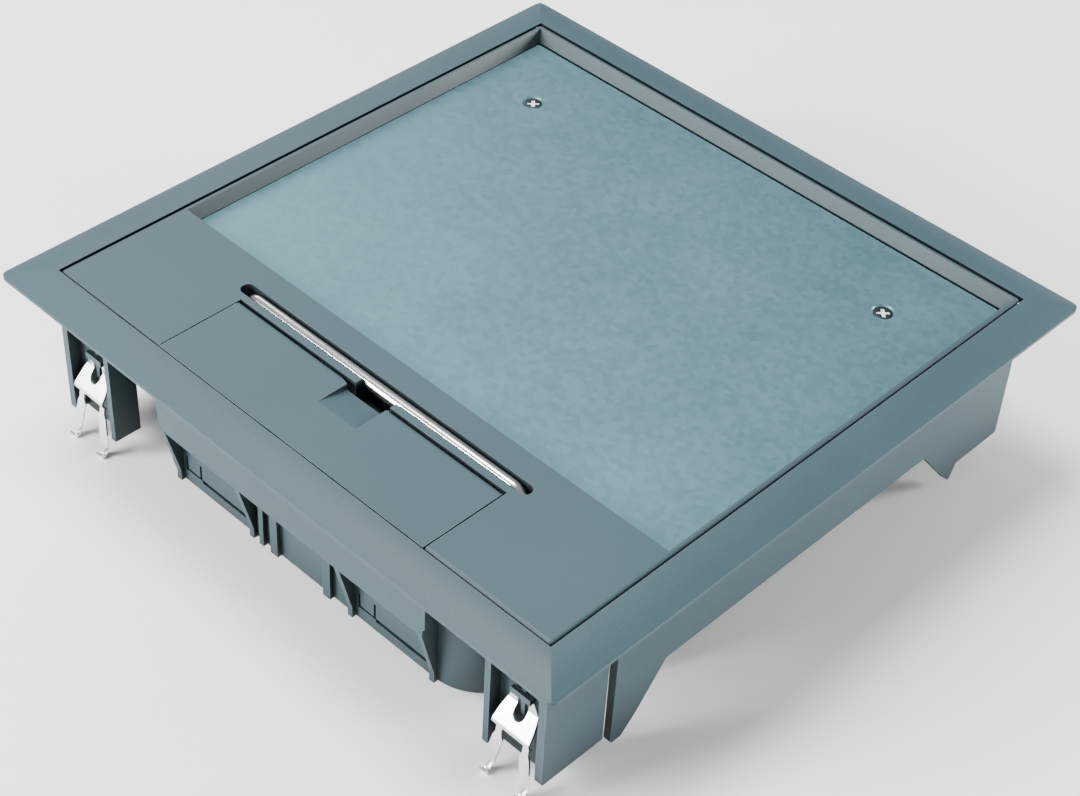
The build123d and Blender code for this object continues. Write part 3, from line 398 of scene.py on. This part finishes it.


# Plate screws and cover screws: zinc plated machine screws with a cross recess, turned and cold headed,
# countersunk in the plate and pan headed on the cup covers. The plate screws' heads are painted near black
# as painted shade, with a painted highlight on the floor of the cross, and turn into brass inserts in the
# lid.
def turned_copies(tree, g_in, instance):
    """A copy on every point, turned about Z by the point's own turn."""
    turn = node(tree, "GeometryNodeInputNamedAttribute", {"Name": "turn"}, data_type="FLOAT")
    turn_vector = node(tree, "ShaderNodeCombineXYZ", {"Z": turn.outputs["Attribute"]})
    turning = node(tree, "FunctionNodeEulerToRotation", {"Euler": turn_vector.outputs[0]})
    placed = node(
        tree, "GeometryNodeInstanceOnPoints",
        {"Points": g_in.outputs["Geometry"], "Instance": instance, "Rotation": turning.outputs[0]},
    )
    return placed.outputs[0]


def screw_tree(name, levels, recess_share):
    """A turned screw with a cross recess on every point.

    Each level is a size and a share of it for the radius, then the same for the height. The cross is cut
    down from recess_share of the head's height, and its floor takes the marked material.
    """
    cross_reach = 1.4
    floor_slope = 0.9
    tree, g_in, g_out = geometry_tree(
        name,
        ["Head radius", "Head height", "Shank radius", "Shank length", "Cross width", "Cross depth",
         "Recess level"],
    )
    blank = node(
        tree, "GeometryNodeMeshCylinder",
        {"Vertices": 40, "Side Segments": len(levels) - 1, "Radius": 1.0, "Depth": 1.0},
    )
    spot = node(tree, "GeometryNodeInputPosition")
    axes = node(tree, "ShaderNodeSeparateXYZ", {"Vector": spot.outputs[0]})
    raised = math_node(tree, "MULTIPLY", math_node(tree, "ADD", axes.outputs["Z"], 0.5), len(levels) - 1.0)
    level = math_node(tree, "ROUND", raised)
    chosen = []
    for column in (0, 2):
        switch = tree.nodes.new("GeometryNodeIndexSwitch")
        switch.data_type = "FLOAT"
        while len(switch.index_switch_items) < len(levels):
            switch.index_switch_items.new()
        tree.links.new(level, switch.inputs[0])
        for number, row in enumerate(levels):
            size = math_node(tree, "MULTIPLY", g_in.outputs[row[column]], row[column + 1])
            tree.links.new(size, switch.inputs[number + 1])
        chosen.append(switch.outputs[0])
    turned_place = node(
        tree, "ShaderNodeCombineXYZ",
        {"X": math_node(tree, "MULTIPLY", axes.outputs["X"], chosen[0]),
         "Y": math_node(tree, "MULTIPLY", axes.outputs["Y"], chosen[0]), "Z": chosen[1]},
    )
    turned = node(
        tree, "GeometryNodeSetPosition",
        {"Geometry": blank.outputs["Mesh"], "Position": turned_place.outputs[0]},
    )
    recess_place = node(
        tree, "ShaderNodeCombineXYZ",
        {"Z": math_node(tree, "MULTIPLY", g_in.outputs["Head height"], recess_share)},
    )
    # The second slot goes a little deeper, so that no two cutting faces lie in one plane
    left = turned.outputs[0]
    for angle, deeper in ((0.0, 2.0), (math.pi / 2, 2.1)):
        wing_size = node(
            tree, "ShaderNodeCombineXYZ",
            {"X": g_in.outputs["Cross width"],
             "Y": math_node(tree, "MULTIPLY", g_in.outputs["Head radius"], cross_reach),
             "Z": math_node(tree, "MULTIPLY", g_in.outputs["Cross depth"], deeper)},
        )
        wing = node(tree, "GeometryNodeMeshCube", {"Size": wing_size.outputs[0]})
        placed = node(
            tree, "GeometryNodeTransform",
            {"Geometry": wing.outputs["Mesh"], "Translation": recess_place.outputs[0],
             "Rotation": (0.0, 0.0, angle)},
        )
        cut = node(
            tree, "GeometryNodeMeshBoolean", {"Mesh 1": left, "Mesh 2": placed.outputs[0]},
            operation="DIFFERENCE", solver="EXACT",
        )
        left = cut.outputs["Mesh"]
    copies = turned_copies(tree, g_in, left)
    final_spot = node(tree, "GeometryNodeInputPosition")
    final_height = node(tree, "ShaderNodeSeparateXYZ", {"Vector": final_spot.outputs[0]})
    final_normal = node(tree, "GeometryNodeInputNormal")
    final_slope = node(tree, "ShaderNodeSeparateXYZ", {"Vector": final_normal.outputs[0]})
    in_recess = math_node(
        tree, "MULTIPLY",
        math_node(tree, "LESS_THAN", final_height.outputs["Z"], g_in.outputs["Recess level"]),
        math_node(tree, "GREATER_THAN", final_slope.outputs["Z"], floor_slope),
    )
    close_tree(tree, g_in, g_out, copies, in_recess)
    return tree


HEAD, TALL, SHANK, LONG = "Head radius", "Head height", "Shank radius", "Shank length"
pan_tree = screw_tree(
    "pan head screw",
    [(SHANK, 0.7, LONG, -1.0), (SHANK, 1.0, LONG, -0.93), (SHANK, 1.0, TALL, 0.0), (HEAD, 0.98, TALL, 0.0),
     (HEAD, 1.0, TALL, 0.08), (HEAD, 0.99, TALL, 0.5), (HEAD, 0.9, TALL, 0.78), (HEAD, 0.7, TALL, 0.93),
     (HEAD, 0.4, TALL, 1.0)],
    1.0,
)
cover_screw_inset = 0.008
cover_spots = []
for row in ("front", "middle", "rear"):
    low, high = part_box("cup_cover_" + row)
    for side in (-1, 1):
        cover_spots.append((side * (high[0] - cover_screw_inset), (low[1] + high[1]) / 2, high[2]))
grown(
    "cover_screw_set", cover_spots, [], pan_tree,
    {"Head radius": 0.0027, "Head height": 0.0016, "Shank radius": 0.00135, "Shank length": 0.0099,
     "Cross width": 0.0008, "Cross depth": 0.0010, "Material": plated, "Marked material": plated},
    "frame", "cover_screws", [0.4, 1.9, 0.9, 2.6, 1.3, 0.1],
)

countersunk_tree = screw_tree(
    "countersunk screw",
    [(SHANK, 0.7, LONG, -1.0), (SHANK, 1.0, LONG, -0.94), (SHANK, 1.0, TALL, -1.0), (HEAD, 1.0, TALL, -0.09),
     (HEAD, 0.985, TALL, -0.02), (HEAD, 0.96, TALL, 0.0)],
    0.0,
)
# Painted shade and painted highlight: the plate screws' heads are near black to stand for shade, and the
# floor of the cross is near white to stand for a highlight
shade_painted_head = bright_metal(
    "screw head painted dark for shade", (0.025, 0.04, 0.045, 1), (0.05, 0.07, 0.075, 1), 0.36, (400.0, 400.0, 400.0)
)
highlight_painted_cross = bright_metal(
    "cross with painted highlight", (0.86, 0.88, 0.88, 1), (0.94, 0.95, 0.95, 1), 0.42, (400.0, 400.0, 400.0)
)
highlight_painted_cross.node_tree.nodes["Principled BSDF"].inputs["Metallic"].default_value = 0.3
low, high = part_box("plate_screws")
sink_radius = (high[1] - low[1]) / 2
head_share = 0.87
head_radius = head_share * sink_radius
head_drop = 0.0003
head_level = high[2] - head_drop
cross_depth = 0.0004
grown(
    "plate_screw_pair",
    [(side * (high[0] - sink_radius), (low[1] + high[1]) / 2, head_level) for side in (-1, 1)], [],
    countersunk_tree,
    {"Head radius": head_radius, "Head height": 0.0020, "Shank radius": 0.00195,
     "Shank length": head_level - low[2], "Cross width": 0.0014, "Cross depth": cross_depth,
     "Recess level": head_level - cross_depth / 2, "Material": shade_painted_head, "Marked material": highlight_painted_cross},
    "lid", "plate_screws", [0.78, 0.78],
)
brass = bright_metal(
    "plain brass", (0.56, 0.40, 0.18, 1), (0.70, 0.52, 0.26, 1), 0.24, (300.0, 300.0, 300.0)
)
wear(["screw_inserts"], brass)


# Device cups and their covers: darker moulded trays hung in the frame below the lid, which carry the
# outlets.
cup_grey = moulded(
    "dark cup moulding", (0.030, 0.037, 0.042, 1), (0.04, 0.048, 0.054, 1), (0.07, 0.08, 0.088, 1), 0.42
)
cover_grey = moulded(
    "cover moulding", (0.052, 0.066, 0.074, 1), (0.064, 0.08, 0.088, 1), (0.11, 0.13, 0.14, 1), 0.45
)
wear([name for name in nodes if name.startswith("device_cup")], cup_grey)
wear([name for name in nodes if name.startswith("cup_cover")], cover_grey)


# Outlet modules: socket outlets, data outlets and a blank, glossy white mouldings snapped into the
# windows of the covers.
module_white = moulded(
    "white module moulding", (0.42, 0.42, 0.40, 1), (0.45, 0.45, 0.43, 1), (0.52, 0.52, 0.50, 1),
    0.22, 900.0, 0.03,
)
wear([name for name in nodes if name.split("_")[0] in ("socket", "data", "blank")], module_white)


# Earth springs: two sprung brass strips in the well of each socket outlet, which bow inwards to press on
# the plug. Stamped from strip and pushed into slots at the foot of the well.
spring_tree, g_in, g_out = geometry_tree("earth spring", ["Width", "Thickness", "Height", "Bow"])
strip_size = node(
    spring_tree, "ShaderNodeCombineXYZ",
    {"X": g_in.outputs["Width"], "Y": g_in.outputs["Thickness"], "Z": g_in.outputs["Height"]},
)
strip = node(
    spring_tree, "GeometryNodeMeshCube",
    {"Size": strip_size.outputs[0], "Vertices X": 2, "Vertices Y": 2, "Vertices Z": 19},
)
spot = node(spring_tree, "GeometryNodeInputPosition")
axes = node(spring_tree, "ShaderNodeSeparateXYZ", {"Vector": spot.outputs[0]})
share = math_node(
    spring_tree, "ADD", math_node(spring_tree, "DIVIDE", axes.outputs["Z"], g_in.outputs["Height"]), 0.5
)
# Along its height the strip leans in from a quarter up, and turns out again over the last quarter
leaning_in = ramp(spring_tree, share, 0.25, 0.74)
turning_out = ramp(spring_tree, math_node(spring_tree, "SUBTRACT", 1.0, share), 0.0, 0.26)
bow = math_node(spring_tree, "MINIMUM", leaning_in, turning_out)
shift = node(
    spring_tree, "ShaderNodeCombineXYZ",
    {"Y": math_node(spring_tree, "MULTIPLY", bow, g_in.outputs["Bow"]),
     "Z": math_node(spring_tree, "MULTIPLY", g_in.outputs["Height"], 0.5)},
)
bowed = node(
    spring_tree, "GeometryNodeSetPosition", {"Geometry": strip.outputs["Mesh"], "Offset": shift.outputs[0]}
)
close_tree(spring_tree, g_in, g_out, turned_copies(spring_tree, g_in, bowed.outputs[0]))
spring_low, spring_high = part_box("earth_springs")
spring_reach = 0.0183  # from the middle of the well to the middle of a strip
spring_spots, spring_turns = [], []
for number in range(1, 7):
    low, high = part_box(f"socket_outlet_{number}")
    middle_x, middle_y = (low[0] + high[0]) / 2, (low[1] + high[1]) / 2
    for side in (-1, 1):
        spring_spots.append((middle_x, middle_y + side * spring_reach, spring_low[2]))
        spring_turns.append(0.0 if side < 0 else math.pi)
grown(
    "earth_spring_set", spring_spots, [], spring_tree,
    {"Width": 0.005, "Thickness": 0.0008, "Height": spring_high[2] - spring_low[2], "Bow": 0.0016,
     "Material": brass},
    "frame", "earth_springs", spring_turns,
)


# Lid seal: an extruded rubber strip with a rounded back, laid on the seat of the lid and left out along
# the hinge.
rubber = moulded(
    "black rubber", (0.012, 0.012, 0.013, 1), (0.016, 0.016, 0.018, 1), (0.03, 0.03, 0.032, 1), 0.7
)
strip_tree, g_in, g_out = geometry_tree("laid strip", ["Width", "Height", "Bend radius", "Back radius"])
line = node(strip_tree, "GeometryNodeMeshToCurve", {"Mesh": g_in.outputs["Geometry"]})
bent = rounded_corners(strip_tree, line.outputs[0], g_in.outputs["Bend radius"], 6)
level_normal = node(strip_tree, "GeometryNodeSetCurveNormal", {"Curve": bent}, mode="Z_UP")
section = node(
    strip_tree, "GeometryNodeCurvePrimitiveQuadrilateral",
    {"Width": g_in.outputs["Width"], "Height": g_in.outputs["Height"]},
)
rounded_section = rounded_corners(strip_tree, section.outputs[0], g_in.outputs["Back radius"], 6)
strip = node(
    strip_tree, "GeometryNodeCurveToMesh",
    {"Curve": level_normal.outputs[0], "Profile Curve": rounded_section, "Fill Caps": True},
)
close_tree(strip_tree, g_in, g_out, strip.outputs[0])
low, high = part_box("lid_seal")
seal_width = 0.0016
seal_x = high[0] - seal_width / 2
seal_front = low[1] + seal_width / 2
seal_level = (low[2] + high[2]) / 2
grown(
    "seal_strip",
    [(-seal_x, high[1], seal_level), (-seal_x, seal_front, seal_level), (seal_x, seal_front, seal_level),
     (seal_x, high[1], seal_level)],
    [(0, 1), (1, 2), (2, 3)], strip_tree,
    {"Width": seal_width, "Height": high[2] - low[2], "Bend radius": 0.0012, "Back radius": 0.00035,
     "Material": rubber},
    "frame", "lid_seal",
)


# Foam comb: a strip of open-cell foam glued under the flap and slit into fingers, which close round the
# cords. Soft-edged, and a little uneven where the knife went through.
foam, tree, shader = new_material("open cell foam")
place = node(tree, "ShaderNodeTexCoord")
cells = node(tree, "ShaderNodeTexVoronoi", {"Vector": place.outputs["Object"], "Scale": 1700.0})
# Painted shade: the foam is coloured darker where its cells go deeper, as shade in the pores
pore_shade_mask = ramp(tree, cells.outputs["Distance"], 0.1, 0.7)
tree.links.new(
    mix_colour(tree, pore_shade_mask, (0.035, 0.035, 0.037, 1), (0.008, 0.008, 0.009, 1)),
    shader.inputs["Base Color"],
)
shader.inputs["Roughness"].default_value = 0.95
add_relief(tree, shader, cells.outputs["Distance"], 0.8, 0.0002, invert=True)
comb_tree, g_in, g_out = geometry_tree("foam comb", ["Width", "Length", "Height", "Unevenness"])
finger_size = node(
    comb_tree, "ShaderNodeCombineXYZ",
    {"X": g_in.outputs["Width"], "Y": g_in.outputs["Length"], "Z": g_in.outputs["Height"]},
)
finger = node(
    comb_tree, "GeometryNodeMeshCube",
    {"Size": finger_size.outputs[0], "Vertices X": 9, "Vertices Y": 7, "Vertices Z": 6},
)
soft = node(comb_tree, "GeometryNodeSubdivisionSurface", {"Mesh": finger.outputs["Mesh"], "Level": 1})
laid = node(
    comb_tree, "GeometryNodeInstanceOnPoints",
    {"Points": g_in.outputs["Geometry"], "Instance": soft.outputs[0]},
)
cut_apart = node(comb_tree, "GeometryNodeRealizeInstances", {"Geometry": laid.outputs[0]})
spot = node(comb_tree, "GeometryNodeInputPosition")
waves = node(comb_tree, "ShaderNodeTexNoise", {"Vector": spot.outputs[0], "Scale": 180.0, "Detail": 2.0})
centred = node(
    comb_tree, "ShaderNodeVectorMath", {0: waves.outputs["Color"], 1: (0.5, 0.5, 0.5)}, operation="SUBTRACT"
)
push = node(
    comb_tree, "ShaderNodeVectorMath", {0: centred.outputs[0], "Scale": g_in.outputs["Unevenness"]},
    operation="SCALE",
)
uneven = node(
    comb_tree, "GeometryNodeSetPosition", {"Geometry": cut_apart.outputs[0], "Offset": push.outputs[0]}
)
close_tree(comb_tree, g_in, g_out, uneven.outputs[0])
low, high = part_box("flap_foam")
finger_count = 8
knife_gap, length_play, height_play = 0.0006, 0.0003, 0.0002
pitch = (high[0] - low[0]) / finger_count
comb = grown(
    "foam_comb",
    [(low[0] + pitch * (number + 0.5), (low[1] + high[1]) / 2, (low[2] + high[2]) / 2)
     for number in range(finger_count)], [],
    comb_tree,
    {"Width": pitch - knife_gap, "Length": high[1] - low[1] - length_play,
     "Height": high[2] - low[2] - height_play, "Unevenness": 0.0004, "Material": foam},
    "flap", "flap_foam",
)


# Studio: a pale floor, a soft room and four soft lights, the strongest in front on the left. None of it
# belongs to the part.
floor_mesh = bpy.data.meshes.new("studio_floor")
reach = 4
floor_mesh.from_pydata(
    [(-reach, -reach, 0), (reach, -reach, 0), (reach, reach, 0), (-reach, reach, 0)], [], [(0, 1, 2, 3)]
)
floor = bpy.data.objects.new("studio_floor", floor_mesh)
bpy.context.scene.collection.objects.link(floor)
paper, tree, shader = new_material("pale paper")
place = node(tree, "ShaderNodeTexCoord")
fibres = node(tree, "ShaderNodeTexNoise", {"Vector": place.outputs["Object"], "Scale": 30.0, "Detail": 4.0})
tree.links.new(
    mix_colour(tree, fibres.outputs["Fac"], (0.88, 0.88, 0.88, 1), (0.90, 0.90, 0.90, 1)),
    shader.inputs["Base Color"],
)
shader.inputs["Roughness"].default_value = 0.9
floor_mesh.materials.append(paper)

world = bpy.data.worlds.new("soft room")
bpy.context.scene.world = world
world.use_nodes = True
world.node_tree.nodes["Background"].inputs["Color"].default_value = (0.97, 0.98, 1.0, 1)
world.node_tree.nodes["Background"].inputs["Strength"].default_value = 0.3


def soft_light(name, place, target, size, power):
    lamp = bpy.data.lights.new(name, "AREA")
    lamp.shape = "DISK"
    lamp.size = size
    lamp.energy = power
    holder = bpy.data.objects.new(name, lamp)
    bpy.context.scene.collection.objects.link(holder)
    holder.location = place
    holder.rotation_mode = "QUATERNION"
    holder.rotation_quaternion = (Vector(target) - Vector(place)).to_track_quat("-Z", "Y")


soft_light("front", (-0.7, -1.3, 0.7), (0, 0, 0.05), 0.9, 76)
soft_light("above left", (-0.4, 0.0, 1.5), (0, 0, 0.05), 0.7, 36)
soft_light("back left", (-1.4, 0.7, 1.0), (-0.05, 0, 0.05), 0.7, 6)
soft_light("right", (0.7, 0.9, 0.2), (0.12, 0.1, 0.04), 0.4, 30)


# Camera: where the photograph was taken from, to the right of the front and above, with a long lens.
# Its three axes were solved from the corners of the flange, the plate and the lid in the photograph.
camera_data = bpy.data.cameras.new("camera")
camera_data.lens = 74.4
camera_data.sensor_width = 36.0
camera_data.clip_start = 0.05
camera = bpy.data.objects.new("camera", camera_data)
bpy.context.scene.collection.objects.link(camera)
right = Vector((0.71231873, 0.70038089, 0.04548224))
up = Vector((-0.49119434, 0.45118081, 0.74509328))
back = Vector((0.50132838, -0.55308453, 0.66540767))
turn = Matrix((right, up, back)).transposed().to_4x4()
camera.matrix_world = Matrix.Translation((0.4028, -0.4434, 0.5530)) @ turn
bpy.context.scene.camera = camera
